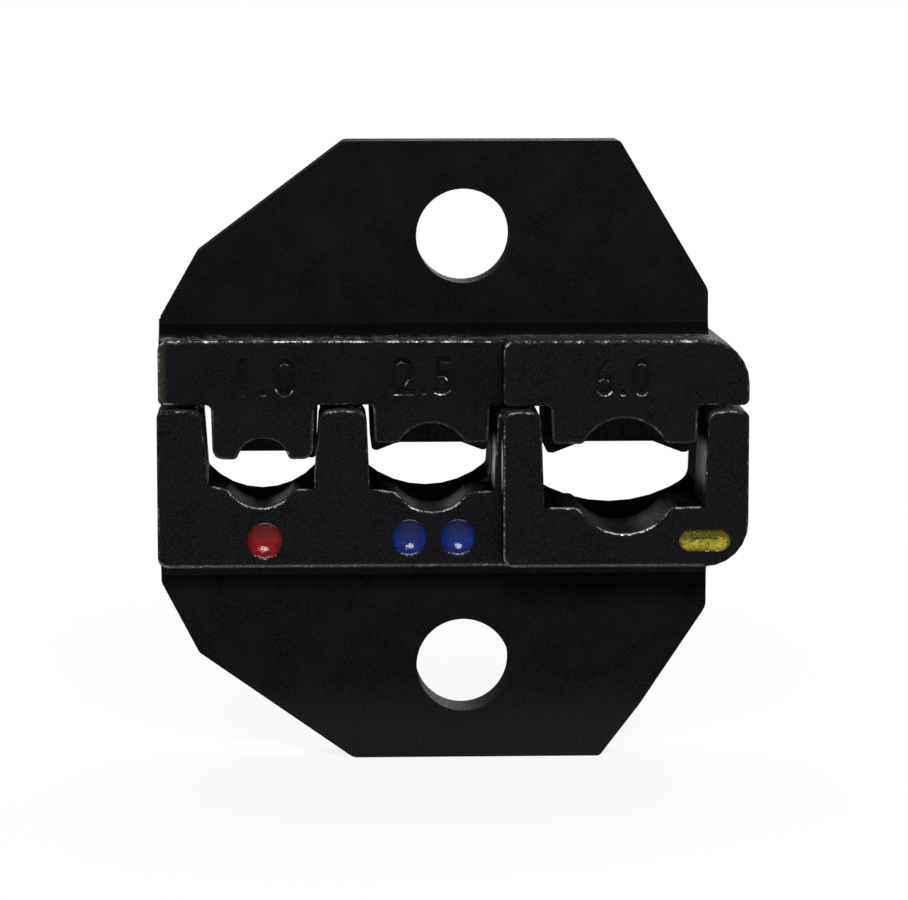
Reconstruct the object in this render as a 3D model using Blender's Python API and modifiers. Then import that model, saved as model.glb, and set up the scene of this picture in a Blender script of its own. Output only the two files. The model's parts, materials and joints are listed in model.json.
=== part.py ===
"""Crimping die set for pre-insulated terminals, drawn closed.

Two hardened steel halves, each one piece: a flat mounting tab with one screw
hole and a thick crimping block. Three nests lie side by side. Each nest has
an insulation section in front and a conductor section behind it. The upper
half carries the punches, the lower half carries the nests between posts.
Enamel marks in dimples on the lower half name the terminal colours.

Frame: X to the viewer's right, Y into the depth, Z up. The origin lies on the
bottom edge of the lower tab, under both screw holes, halfway through the tab.
All sizes below are in millimetres. MM turns them into metres.
"""

import math

import bmesh
import bpy
from mathutils import Matrix, Vector

MM = 0.001

# Tabs. The left side's place is given from the screw holes' axis.
TAB_THICKNESS = 3.0
TAB_LEFT = -17.75
TAB_FILLET = 1.0
TAB_END_CORNER = 0.7
TAB_SHARP_CORNER = 0.3
TAB_KNEE_CORNER = 0.45
TAB_LEFT_CORNER = 0.6
TAB_RIGHT_CORNER = 1.0
TAB_BULGE_RADIUS = 4.0

# Screw holes, clearance size for an M5 screw
HOLE_DIAMETER = 5.5
HOLE_EDGE_DISTANCE = 5.53

# Crimping block
BLOCK_FRONT_STEP = 2.3
BLOCK_DEPTH = 10.0
LOWER_OVERHANG = 0.12
UPPER_OVERHANG = 0.03
NEST_FLOOR = 4.67
POST_RISE = 4.61
SEAM_GAP = 0.27
UPPER_BLOCK_HEIGHT = 3.8
BLOCK_EDGE_ROUNDING = 0.2
BLOCK_CORNER = 0.6
POST_CORNER = 0.6
END_POST_CORNER = 0.38
SHOULDER_CORNER = 0.3
SHOULDER_END_CORNER = 0.38
LUG_CORNER = 0.25
FLAT_CORNER = 0.3

# Posts beside the nests, measured at the nests' shelves
LEFT_POST = 2.945
MIDDLE_POST = 3.245
PAD_LEDGE = 0.43
PAD_POST = 2.4
RIGHT_POST = 2.58

# Raised pad round the largest nest
PAD_STEP = 1.75
PAD_TOP_RISE = 0.1
PAD_BOTTOM_INSET = 0.2
PAD_SMALL_CORNER = 0.65
PAD_OUTER_CORNER = 2.55
PAD_OVERLAP = 1.8
PAD_SEAM_RISE = 0.08
PAD_SIDE_OVERHANG = 2.05

# Arched tops of the posts, and the front nests' rounded shelf ends
POST_CROWN = 0.14
POST_CROWN_RADIUS = 1.5
GROOVE_CORNER = 0.5

# Depth of the insulation section, behind the block's front face
INSULATION_DEPTH = 4.2
SECTION_OVERLAP = 0.1
PAD_SECTION_STEP = 0.05
REAR_RELIEF = 0.12

# Enamel marks. Heights are above the block's bottom.
DOT_DIAMETER = 2.1
DOT_DEPTH = 0.45
RED_DOT_SHIFT = 0.21
RED_DOT_HEIGHT = 1.6
BLUE_DOT_LEFT_SHIFT = -1.33
BLUE_DOT_RIGHT_SHIFT = 1.5
BLUE_DOT_HEIGHT = 1.75
SLOT_INSET = 2.53
SLOT_CENTRE_HEIGHT = 1.75
SLOT_LENGTH = 3.05
SLOT_HEIGHT = 1.34
SLOT_DEPTH = 0.35
SLOT_ROUNDNESS = 0.97
ENAMEL_GAP = 0.04
ENAMEL_THICKNESS = 0.16

# Resolution of round stretches
ARC_STEP = math.radians(15)
BOW_STEPS = 8
HOLE_SEGMENTS = 64
DIMPLE_SEGMENTS = 32
DIMPLE_RINGS = 28
LENS_STEPS = 8


class Tab:
    """One mounting tab. Corners are measured from its sides and from the block."""

    def __init__(self, height, left_shoulder, knee, end_left, end_right, right_shoulder,
                 bulge=None):
        self.height = height
        self.left_shoulder = left_shoulder
        self.knee = knee
        self.end_left = end_left
        self.end_right = end_right
        self.right_shoulder = right_shoulder
        self.bulge = bulge


LOWER_TAB = Tab(height=11.75, left_shoulder=1.15, knee=(2.19, 5.37), end_left=11.25,
                end_right=6.25, right_shoulder=2.8, bulge=(3.9, 8.68))
UPPER_TAB = Tab(height=11.35, left_shoulder=0.95, knee=(2.22, 4.87), end_left=10.8,
                end_right=5.2, right_shoulder=2.65)

BLOCK_BOTTOM = LOWER_TAB.height
POST_TOP = BLOCK_BOTTOM + NEST_FLOOR + POST_RISE
SHOULDER = POST_TOP + SEAM_GAP
BLOCK_TOP = SHOULDER + UPPER_BLOCK_HEIGHT
SET_HEIGHT = BLOCK_TOP + UPPER_TAB.height
TAB_FRONT = -TAB_THICKNESS / 2
TAB_BACK = TAB_THICKNESS / 2
BLOCK_FRONT = TAB_FRONT - BLOCK_FRONT_STEP
BLOCK_BACK = BLOCK_FRONT + BLOCK_DEPTH
PAD_FRONT = BLOCK_FRONT - PAD_STEP
SECTION_PLANE = BLOCK_FRONT + INSULATION_DEPTH


class Nest:
    """One crimping station: a nest in the lower half and its punch above it.

    Drops are below the first nest's shelf, gaps are above this nest's own shelf, and
    lands are flat widths beside the walls.
    """

    def __init__(self, left, width, draft, shelf_drop, left_fall, shelf_land, groove_depth,
                 bowl_rise, bowl_drop, bowl_corner, punch_shift, punch_draft, clearance,
                 tooth_gap, tooth_land, tooth_corner, arch_corner, arch_height, flat_gap,
                 lug_gap, lug_land, lug_run, rear_growth, rear_shift, rear_inset):
        self.left = left
        self.right = left + width
        self.centre = left + width / 2
        self.width = width
        self.draft = math.radians(draft)
        self.shelf = BLOCK_BOTTOM + NEST_FLOOR - shelf_drop
        self.left_fall = left_fall
        self.shelf_land = shelf_land
        self.groove_depth = groove_depth
        self.bowl_edge = self.shelf + bowl_rise
        self.bowl_bottom = self.shelf - bowl_drop
        self.bowl_corner = bowl_corner
        self.punch_centre = self.centre + punch_shift
        self.punch_width = width - 2 * clearance
        self.punch_draft = math.radians(punch_draft)
        self.tooth = self.shelf + tooth_gap
        self.tooth_land = tooth_land
        self.tooth_corner = tooth_corner
        self.arch_corner = arch_corner
        self.arch_height = arch_height
        self.flat_level = self.shelf + flat_gap
        self.lug_level = self.shelf + lug_gap
        self.lug_land = lug_land
        self.lug_run = lug_run
        self.rear_growth = rear_growth
        self.rear_shift = rear_shift
        self.rear_inset = rear_inset

    def wall(self, side, z, relief=0.0):
        """X of the nest's left (-1) or right (+1) wall at height z."""
        spread = (z - self.shelf) * math.tan(self.draft)
        return self.centre + side * (self.width / 2 + spread + relief)

    def punch_wall(self, side, z):
        """X of the front punch's left (-1) or right (+1) wall at height z."""
        spread = (z - self.shelf) * math.tan(self.punch_draft)
        return self.punch_centre + side * (self.punch_width / 2 + spread)

    def rear_punch_wall(self, side, z):
        """X of the rear punch's left (-1) or right (+1) wall at height z."""
        return self.punch_wall(side, z) + side * self.rear_growth + self.rear_shift


BLOCK_LEFT_LOWER = TAB_LEFT - LOWER_OVERHANG
BLOCK_LEFT_UPPER = TAB_LEFT - UPPER_OVERHANG
RED = Nest(left=BLOCK_LEFT_LOWER + LEFT_POST, width=6.17, draft=4.0, shelf_drop=0.0,
           left_fall=0.22, shelf_land=1.185, groove_depth=1.1, bowl_rise=0.18,
           bowl_drop=1.26, bowl_corner=0.4, punch_shift=0.12, punch_draft=1.7,
           clearance=0.22, tooth_gap=1.71, tooth_land=1.4, tooth_corner=0.65,
           arch_corner=0.33, arch_height=1.22, flat_gap=1.69, lug_gap=1.28, lug_land=0.35,
           lug_run=1.125, rear_growth=0.1, rear_shift=0.105, rear_inset=0.0)
BLUE = Nest(left=RED.right + MIDDLE_POST, width=7.22, draft=2.4, shelf_drop=0.2,
            left_fall=0.2, shelf_land=1.51, groove_depth=1.17, bowl_rise=0.43,
            bowl_drop=0.93, bowl_corner=0.5, punch_shift=-0.03, punch_draft=2.4,
            clearance=0.41, tooth_gap=2.82, tooth_land=1.418, tooth_corner=0.3,
            arch_corner=0.35, arch_height=1.14, flat_gap=2.37, lug_gap=1.91, lug_land=0.35,
            lug_run=1.205, rear_growth=0.15, rear_shift=0.01, rear_inset=0.19)
PAD_LEFT = BLUE.right + PAD_LEDGE
YELLOW = Nest(left=PAD_LEFT + PAD_POST, width=9.28, draft=2.0, shelf_drop=0.92,
              left_fall=0.0, shelf_land=1.965, groove_depth=1.55, bowl_rise=0.2,
              bowl_drop=1.3, bowl_corner=1.0, punch_shift=-0.01, punch_draft=2.0,
              clearance=0.57, tooth_gap=3.66, tooth_land=1.806, tooth_corner=0.3,
              arch_corner=0.45, arch_height=1.48, flat_gap=3.09, lug_gap=2.42,
              lug_land=0.45, lug_run=1.73, rear_growth=0.095, rear_shift=0.055,
              rear_inset=0.0)
NESTS = (RED, BLUE, YELLOW)
PAD_RIGHT = YELLOW.right + RIGHT_POST
PAD_TOP = BLOCK_TOP + PAD_TOP_RISE
PAD_BOTTOM = BLOCK_BOTTOM + PAD_BOTTOM_INSET
TAB_RIGHT = PAD_RIGHT - PAD_SIDE_OVERHANG

DOT_CENTRES = {
    "red_enamel_dot": (RED.centre + RED_DOT_SHIFT, BLOCK_BOTTOM + RED_DOT_HEIGHT),
    "blue_enamel_dot_left": (BLUE.centre + BLUE_DOT_LEFT_SHIFT, BLOCK_BOTTOM + BLUE_DOT_HEIGHT),
    "blue_enamel_dot_right": (BLUE.centre + BLUE_DOT_RIGHT_SHIFT, BLOCK_BOTTOM + BLUE_DOT_HEIGHT),
}
SLOT_CENTRE = (PAD_RIGHT - SLOT_INSET, BLOCK_BOTTOM + SLOT_CENTRE_HEIGHT)

STEEL = ("black_oxide_steel", (0.012, 0.012, 0.013), 0.5, 0.9)
RED_ENAMEL = ("red_enamel", (0.45, 0.015, 0.02), 0.2, 0.0)
BLUE_ENAMEL = ("blue_enamel", (0.015, 0.03, 0.3), 0.2, 0.0)
YELLOW_ENAMEL = ("yellow_enamel", (0.55, 0.5, 0.02), 0.35, 0.0)


def clear_scene():
    for item in list(bpy.data.objects):
        bpy.data.objects.remove(item, do_unlink=True)


def new_collection(name):
    group = bpy.data.collections.new(name)
    bpy.context.scene.collection.children.link(group)
    return group


def material(spec):
    name, colour, roughness, metallic = spec
    found = bpy.data.materials.get(name)
    if found:
        return found
    made = bpy.data.materials.new(name)
    made.use_nodes = True
    shader = made.node_tree.nodes["Principled BSDF"]
    shader.inputs["Base Color"].default_value = (*colour, 1.0)
    shader.inputs["Roughness"].default_value = roughness
    shader.inputs["Metallic"].default_value = metallic
    made.diffuse_color = (*colour, 1.0)
    return made


# Flat outlines

def rounded(corners):
    """Outline through corners given as (x, z, radius), with arcs at the corners."""
    points = []
    count = len(corners)
    for index, (x, z, radius) in enumerate(corners):
        here = Vector((x, z))
        before = Vector(corners[index - 1][:2]) - here
        after = Vector(corners[(index + 1) % count][:2]) - here
        if radius <= 0:
            points.append(here)
            continue
        before.normalize()
        after.normalize()
        half = before.angle(after) / 2
        middle = here + (before + after).normalized() * (radius / math.sin(half))
        start = here + before * (radius / math.tan(half)) - middle
        turn = math.pi - 2 * half
        sign = -1 if before.x * after.y - before.y * after.x > 0 else 1
        steps = max(2, math.ceil(turn / ARC_STEP))
        for step in range(steps + 1):
            angle = sign * turn * step / steps
            points.append(middle + Matrix.Rotation(angle, 2) @ start)
    return points


def bow(start, end, rise, corner):
    """Corners along the arc from start to end whose middle lies rise above the chord.

    The two ends are rounded to the radius corner.
    """
    x0, z0 = start
    x1, z1 = end
    half = math.hypot(x1 - x0, z1 - z0) / 2
    radius = (half * half + rise * rise) / (2 * abs(rise))
    sweep = 2 * math.asin(min(1.0, half / radius))
    steps = max(BOW_STEPS, math.ceil(sweep / ARC_STEP))
    corners = []
    for step in range(steps + 1):
        angle = sweep * (step / steps - 0.5)
        along = radius * math.sin(angle)
        up = math.copysign(radius * math.cos(angle) - radius + abs(rise), rise)
        part = (along + half) / (2 * half)
        radius_here = corner if step in (0, steps) else 0.0
        corners.append((x0 + (x1 - x0) * part, z0 + (z1 - z0) * part + up, radius_here))
    return corners


def insulation_nest(nest, top):
    """Front nest from its left wall's top to its right wall's top."""
    left_groove = nest.left + nest.shelf_land
    right_groove = nest.right - nest.shelf_land
    left_shelf = nest.shelf + nest.left_fall
    corners = [(nest.wall(-1, top), top, POST_CORNER)]
    corners.append((nest.wall(-1, left_shelf), left_shelf, 0.0))
    corners += bow((left_groove, nest.shelf), (right_groove, nest.shelf),
                   -nest.groove_depth, GROOVE_CORNER)
    corners.append((nest.wall(1, nest.shelf), nest.shelf, 0.0))
    corners.append((nest.wall(1, top), top, POST_CORNER))
    return corners


def conductor_nest(nest, top):
    """Rear nest: a shallow bowl from wall to wall."""
    left = nest.wall(-1, nest.bowl_edge, REAR_RELIEF)
    right = nest.wall(1, nest.bowl_edge, REAR_RELIEF - nest.rear_inset)
    corners = [(nest.wall(-1, top, REAR_RELIEF), top, POST_CORNER)]
    corners += bow((left, nest.bowl_edge), (right, nest.bowl_edge),
                   nest.bowl_bottom - nest.bowl_edge, nest.bowl_corner)
    corners.append((nest.wall(1, top, REAR_RELIEF - nest.rear_inset), top, POST_CORNER))
    return corners


def insulation_punch(nest, shoulder):
    """Front punch: two teeth with an arch between them, read from left to right."""
    left_arch = nest.punch_wall(-1, nest.tooth) + nest.tooth_land
    right_arch = nest.punch_wall(1, nest.tooth) - nest.tooth_land
    corners = [(nest.punch_wall(-1, shoulder), shoulder, SHOULDER_CORNER)]
    corners.append((nest.punch_wall(-1, nest.tooth), nest.tooth, nest.tooth_corner))
    corners += bow((left_arch, nest.tooth), (right_arch, nest.tooth),
                   nest.arch_height, nest.arch_corner)
    corners.append((nest.punch_wall(1, nest.tooth), nest.tooth, nest.tooth_corner))
    corners.append((nest.punch_wall(1, shoulder), shoulder, SHOULDER_CORNER))
    return corners


def conductor_punch(nest, shoulder):
    """Rear punch: a flat between two rounded lugs, read from left to right."""
    corners = [(nest.rear_punch_wall(-1, shoulder), shoulder, SHOULDER_CORNER)]
    for side in (-1, 1):
        wall = nest.rear_punch_wall(side, nest.lug_level)
        lug = [(wall, nest.lug_level, LUG_CORNER)]
        lug.append((wall - side * nest.lug_land, nest.lug_level, LUG_CORNER))
        flat_end = wall - side * (nest.lug_land + nest.lug_run)
        lug.append((flat_end, nest.flat_level, FLAT_CORNER))
        corners += lug if side < 0 else lug[::-1]
    corners.append((nest.rear_punch_wall(1, shoulder), shoulder, SHOULDER_CORNER))
    return corners


def block_outline(nests, shape, left, right, outer, seam, left_radii, right_radii,
                  crown=0.0):
    """Outline of a block: up to the seam on the left, along it, and back on the right.

    With a crown, each post's top is an arch that rises by it to the seam.
    """
    edge = seam - crown
    corners = [(left, outer, left_radii[0]), (left, edge, left_radii[1])]
    for run in [shape(nest, edge) for nest in nests] + [[(right, edge, right_radii[1])]]:
        if crown:
            middle = (corners[-1][0] + run[0][0]) / 2
            corners.append((middle, seam, POST_CROWN_RADIUS))
        corners += run
    corners.append((right, outer, right_radii[0]))
    return rounded(corners)


def tab_outline(tab, edge, up):
    """Outline of a tab that leaves the block's edge upwards (1) or downwards (-1)."""
    root = edge - up * TAB_FILLET
    end = edge + up * tab.height
    knee_inset, knee_rise = tab.knee
    corners = [(TAB_LEFT, root, 0.0)]
    corners.append((TAB_LEFT, edge + up * tab.left_shoulder, TAB_LEFT_CORNER))
    corners.append((TAB_LEFT + knee_inset, edge + up * knee_rise, TAB_KNEE_CORNER))
    corners.append((TAB_LEFT + tab.end_left, end, TAB_END_CORNER))
    corners.append((TAB_RIGHT - tab.end_right, end, TAB_SHARP_CORNER))
    if tab.bulge:
        inset, rise = tab.bulge
        corners.append((TAB_RIGHT - inset, edge + up * rise, TAB_BULGE_RADIUS))
    corners.append((TAB_RIGHT, edge + up * tab.right_shoulder, TAB_RIGHT_CORNER))
    corners.append((TAB_RIGHT, root, 0.0))
    return rounded(corners)


def slot_outline(inset):
    x, z = SLOT_CENTRE
    half_length = SLOT_LENGTH / 2 - inset
    half_height = SLOT_HEIGHT / 2 - inset
    radius = half_height * SLOT_ROUNDNESS
    return rounded([
        (x - half_length, z - half_height, radius),
        (x + half_length, z - half_height, radius),
        (x + half_length, z + half_height, radius),
        (x - half_length, z + half_height, radius),
    ])


def fillet_outline(wall_side, edge, up):
    """Concave fillet between a tab face and the block, in the YZ plane."""
    face = wall_side * TAB_THICKNESS / 2
    centre_y = face + wall_side * TAB_FILLET
    centre_z = edge + up * TAB_FILLET
    corners = [(face - wall_side * TAB_FILLET / 2, edge - up * TAB_FILLET / 2)]
    corners.append((centre_y, edge - up * TAB_FILLET / 2))
    steps = math.ceil(math.pi / 2 / ARC_STEP)
    for step in range(steps + 1):
        angle = math.pi / 2 * step / steps
        y = centre_y - wall_side * TAB_FILLET * math.sin(angle)
        z = centre_z - up * TAB_FILLET * math.cos(angle)
        corners.append((y, z))
    corners.append((face - wall_side * TAB_FILLET / 2, centre_z))
    return [Vector(corner) for corner in corners]


# Solids

def extruded(name, outline, low, high, group, along="Y"):
    """Prism of an outline in the XZ plane along Y, or in the YZ plane along X."""
    curve = bpy.data.curves.new(name, "CURVE")
    curve.dimensions = "2D"
    curve.fill_mode = "BOTH"
    curve.extrude = (high - low) / 2
    spline = curve.splines.new("POLY")
    spline.points.add(len(outline) - 1)
    for point, place in zip(spline.points, outline):
        point.co = (place.x, place.y, 0.0, 1.0)
    spline.use_cyclic_u = True
    guide = bpy.data.objects.new(name + "_outline", curve)
    bpy.context.scene.collection.objects.link(guide)
    bpy.context.view_layer.update()
    evaluated = guide.evaluated_get(bpy.context.evaluated_depsgraph_get())
    mesh = bpy.data.meshes.new_from_object(evaluated)
    bpy.data.objects.remove(guide, do_unlink=True)
    work = bmesh.new()
    work.from_mesh(mesh)
    for vert in work.verts:
        flat_x, flat_y, across = vert.co
        end = high if across > 0 else low
        place = (flat_x, end, flat_y) if along == "Y" else (end, flat_x, flat_y)
        vert.co = Vector(place) * MM
    bmesh.ops.remove_doubles(work, verts=work.verts, dist=0.001 * MM)
    axis = "XYZ".index(along)
    for end in (low, high):
        cap = [face for face in work.faces
               if all(abs(vert.co[axis] / MM - end) < 0.001 for vert in face.verts)]
        bmesh.ops.dissolve_faces(work, faces=cap)
    bmesh.ops.recalc_face_normals(work, faces=work.faces)
    work.to_mesh(mesh)
    work.free()
    solid = bpy.data.objects.new(name, mesh)
    group.objects.link(solid)
    return solid


def round_rim(solid, plane):
    """Round the prism's rim on the plane y = plane."""
    mesh = solid.data
    weights = mesh.attributes.new("bevel_weight_edge", "FLOAT", "EDGE")
    for edge in mesh.edges:
        ends = [mesh.vertices[index].co / MM for index in edge.vertices]
        if all(abs(end.y - plane) < 0.001 for end in ends):
            weights.data[edge.index].value = 1.0
    bevel = solid.modifiers.new("rim", "BEVEL")
    bevel.width = BLOCK_EDGE_ROUNDING * MM
    bevel.segments = 2
    bevel.limit_method = "WEIGHT"
    bevel.use_clamp_overlap = False


def flatten(solid):
    """Split the solid's faces into triangles, which are flat whatever their corners do."""
    split = solid.modifiers.new("flat faces", "TRIANGULATE")
    split.quad_method = "BEAUTY"
    split.ngon_method = "BEAUTY"


def add_boolean(solid, other, operation, solver="EXACT"):
    other.hide_render = True
    other.display_type = "WIRE"
    flatten(other)
    step = solid.modifiers.new(other.name, "BOOLEAN")
    step.operation = operation
    step.solver = solver
    step.object = other


def hole_cutter(name, z, group):
    bpy.ops.mesh.primitive_cylinder_add(
        vertices=HOLE_SEGMENTS, radius=HOLE_DIAMETER / 2 * MM, depth=3 * TAB_THICKNESS * MM,
        location=(0, 0, z * MM), rotation=(math.pi / 2, 0, 0))
    cutter = bpy.context.object
    cutter.name = name
    move_to(cutter, group)
    return cutter


def move_to(item, group):
    for owner in list(item.users_collection):
        owner.objects.unlink(item)
    group.objects.link(item)


def dimple_radius():
    half = DOT_DIAMETER / 2
    return (half * half + DOT_DEPTH * DOT_DEPTH) / (2 * DOT_DEPTH)


def dimple_cutter(name, place, group):
    radius = dimple_radius()
    x, z = place
    y = BLOCK_FRONT - radius + DOT_DEPTH
    bpy.ops.mesh.primitive_uv_sphere_add(
        segments=DIMPLE_SEGMENTS, ring_count=DIMPLE_RINGS, radius=radius * MM,
        location=(x * MM, y * MM, z * MM), rotation=(math.pi / 2, 0, 0))
    cutter = bpy.context.object
    cutter.name = name
    move_to(cutter, group)
    return cutter


def enamel_dot(name, place, spec, group):
    """Turned fill of a dimple: a dished lens, thickest in the middle."""
    bowl = dimple_radius() - ENAMEL_GAP
    rim = DOT_DIAMETER / 2 - 2 * ENAMEL_GAP
    depth_of_rim = math.sqrt(bowl * bowl - rim * rim)
    lens_rise = bowl - depth_of_rim - ENAMEL_THICKNESS
    lens = (rim * rim + lens_rise * lens_rise) / (2 * lens_rise)
    profile = []
    for step in range(LENS_STEPS + 1):
        r = rim * step / LENS_STEPS
        level = -depth_of_rim - lens_rise + lens - math.sqrt(lens * lens - r * r)
        profile.append((r, level))
    for step in range(LENS_STEPS - 1, -1, -1):
        r = rim * step / LENS_STEPS
        profile.append((r, -math.sqrt(bowl * bowl - r * r)))
    mesh = bpy.data.meshes.new(name)
    verts = [(r * MM, 0.0, level * MM) for r, level in profile]
    mesh.from_pydata(verts, [(i, i + 1) for i in range(len(verts) - 1)], [])
    dot = bpy.data.objects.new(name, mesh)
    group.objects.link(dot)
    turn = dot.modifiers.new("turn", "SCREW")
    turn.axis = "Z"
    turn.steps = DIMPLE_SEGMENTS
    turn.render_steps = DIMPLE_SEGMENTS
    turn.use_merge_vertices = True
    turn.merge_threshold = 0.0000005
    x, z = place
    y = BLOCK_FRONT - dimple_radius() + DOT_DEPTH
    dot.location = (x * MM, y * MM, z * MM)
    dot.rotation_euler = (math.pi / 2, 0, 0)
    dot.data.materials.append(material(spec))
    return dot


def smooth(solid):
    solid.data.shade_smooth()
    solid.data.set_sharp_from_angle(angle=math.radians(30))


def fillets(prefix, edge, up, group):
    made = []
    for label, side in (("front", -1), ("back", 1)):
        outline = fillet_outline(side, edge, up)
        made.append(extruded(f"{prefix}_{label}_fillet", outline, TAB_LEFT, TAB_RIGHT, group, "X"))
    return made


def make_lower_die(parts, tools):
    pad_end = PAD_LEFT + PAD_OVERLAP
    outline = block_outline((RED, BLUE), insulation_nest, BLOCK_LEFT_LOWER, pad_end,
                            BLOCK_BOTTOM, POST_TOP, (BLOCK_CORNER, END_POST_CORNER), (0.0, 0.0),
                            POST_CROWN)
    die = extruded("lower_die", outline, BLOCK_FRONT, SECTION_PLANE, parts)
    round_rim(die, BLOCK_FRONT)
    flatten(die)
    outline = block_outline((YELLOW,), insulation_nest, PAD_LEFT, PAD_RIGHT, PAD_BOTTOM,
                            POST_TOP + PAD_SEAM_RISE, (PAD_SMALL_CORNER, PAD_SMALL_CORNER),
                            (PAD_OUTER_CORNER, END_POST_CORNER), POST_CROWN)
    pad = extruded("lower_pad", outline, PAD_FRONT, SECTION_PLANE - PAD_SECTION_STEP, tools)
    round_rim(pad, PAD_FRONT)
    outline = block_outline(NESTS, conductor_nest, BLOCK_LEFT_LOWER, PAD_RIGHT, BLOCK_BOTTOM,
                            POST_TOP - REAR_RELIEF, (BLOCK_CORNER, END_POST_CORNER),
                            (PAD_OUTER_CORNER, END_POST_CORNER), POST_CROWN)
    rear = extruded("lower_rear", outline, SECTION_PLANE - SECTION_OVERLAP, BLOCK_BACK, tools)
    round_rim(rear, BLOCK_BACK)
    outline = tab_outline(LOWER_TAB, BLOCK_BOTTOM, -1)
    tab = extruded("lower_tab", outline, TAB_FRONT, TAB_BACK, tools)
    add_boolean(tab, hole_cutter("lower_hole", HOLE_EDGE_DISTANCE, tools), "DIFFERENCE")
    for solid in (pad, rear, tab, *fillets("lower", BLOCK_BOTTOM, -1, tools)):
        add_boolean(die, solid, "UNION", "MANIFOLD")
    for name, place in DOT_CENTRES.items():
        dimple = dimple_cutter(name + "_dimple", place, tools)
        add_boolean(die, dimple, "DIFFERENCE", "MANIFOLD")
    slot = extruded("slot_pocket", slot_outline(0.0), PAD_FRONT - SLOT_DEPTH,
                    PAD_FRONT + SLOT_DEPTH, tools)
    add_boolean(die, slot, "DIFFERENCE", "MANIFOLD")
    die.data.materials.append(material(STEEL))
    smooth(die)
    return die


def make_upper_die(parts, tools):
    pad_end = PAD_LEFT + PAD_OVERLAP
    outline = block_outline((RED, BLUE), insulation_punch, BLOCK_LEFT_UPPER, pad_end, BLOCK_TOP,
                            SHOULDER, (BLOCK_CORNER, SHOULDER_END_CORNER), (0.0, 0.0))
    die = extruded("upper_die", outline, BLOCK_FRONT, SECTION_PLANE, parts)
    round_rim(die, BLOCK_FRONT)
    flatten(die)
    outline = block_outline((YELLOW,), insulation_punch, PAD_LEFT, PAD_RIGHT, PAD_TOP,
                            SHOULDER + PAD_SEAM_RISE, (PAD_SMALL_CORNER, SHOULDER_END_CORNER),
                            (PAD_OUTER_CORNER, SHOULDER_END_CORNER))
    pad = extruded("upper_pad", outline, PAD_FRONT, SECTION_PLANE - PAD_SECTION_STEP, tools)
    round_rim(pad, PAD_FRONT)
    outline = block_outline(NESTS, conductor_punch, BLOCK_LEFT_UPPER, PAD_RIGHT, BLOCK_TOP,
                            SHOULDER + REAR_RELIEF, (BLOCK_CORNER, SHOULDER_END_CORNER),
                            (PAD_OUTER_CORNER, SHOULDER_END_CORNER))
    rear = extruded("upper_rear", outline, SECTION_PLANE - SECTION_OVERLAP, BLOCK_BACK, tools)
    round_rim(rear, BLOCK_BACK)
    outline = tab_outline(UPPER_TAB, BLOCK_TOP, 1)
    tab = extruded("upper_tab", outline, TAB_FRONT, TAB_BACK, tools)
    hole_height = SET_HEIGHT - HOLE_EDGE_DISTANCE
    add_boolean(tab, hole_cutter("upper_hole", hole_height, tools), "DIFFERENCE")
    for solid in (pad, rear, tab, *fillets("upper", BLOCK_TOP, 1, tools)):
        add_boolean(die, solid, "UNION", "MANIFOLD")
    die.data.materials.append(material(STEEL))
    smooth(die)
    slide = bpy.data.objects.new("upper_slide", None)
    parts.objects.link(slide)
    slide.location = (0, 0, hole_height * MM)
    die.parent = slide
    die.matrix_parent_inverse = Matrix.Translation(slide.location).inverted()
    return die


def make_enamel(parts):
    for name, place in DOT_CENTRES.items():
        spec = RED_ENAMEL if name.startswith("red") else BLUE_ENAMEL
        smooth(enamel_dot(name, place, spec, parts))
    floor = PAD_FRONT + SLOT_DEPTH - ENAMEL_GAP
    fill = extruded("yellow_enamel_slot", slot_outline(ENAMEL_GAP), floor - ENAMEL_THICKNESS,
                    floor, parts)
    fill.data.materials.append(material(YELLOW_ENAMEL))
    smooth(fill)


def build():
    clear_scene()
    parts = new_collection("crimping_die")
    tools = new_collection("crimping_die_tools")
    make_lower_die(parts, tools)
    make_upper_die(parts, tools)
    make_enamel(parts)
    bpy.context.view_layer.update()


build()
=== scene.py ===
import json
import math

import bmesh
import bpy
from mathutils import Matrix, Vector, noise

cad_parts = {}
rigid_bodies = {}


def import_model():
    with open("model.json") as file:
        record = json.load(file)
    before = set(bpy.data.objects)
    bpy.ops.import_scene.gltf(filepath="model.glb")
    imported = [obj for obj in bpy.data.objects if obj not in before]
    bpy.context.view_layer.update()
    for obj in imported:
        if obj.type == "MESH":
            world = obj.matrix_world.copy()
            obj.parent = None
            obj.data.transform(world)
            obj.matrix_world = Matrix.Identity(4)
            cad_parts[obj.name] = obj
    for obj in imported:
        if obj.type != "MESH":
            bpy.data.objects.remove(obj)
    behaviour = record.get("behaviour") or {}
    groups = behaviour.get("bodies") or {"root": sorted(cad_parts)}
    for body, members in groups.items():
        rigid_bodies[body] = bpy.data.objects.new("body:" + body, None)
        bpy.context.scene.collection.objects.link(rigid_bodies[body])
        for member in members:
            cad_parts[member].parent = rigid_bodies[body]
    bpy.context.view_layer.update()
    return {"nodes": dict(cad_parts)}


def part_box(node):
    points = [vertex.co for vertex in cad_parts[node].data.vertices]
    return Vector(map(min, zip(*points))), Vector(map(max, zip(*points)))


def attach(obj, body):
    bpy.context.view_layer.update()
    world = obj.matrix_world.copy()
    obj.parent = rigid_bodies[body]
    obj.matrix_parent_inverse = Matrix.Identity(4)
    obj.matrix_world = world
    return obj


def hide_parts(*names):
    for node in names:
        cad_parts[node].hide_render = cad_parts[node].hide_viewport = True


for leftover in list(bpy.data.objects):
    bpy.data.objects.remove(leftover)

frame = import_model()

MM = 0.001
X, Y, Z = 0, 1, 2

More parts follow.
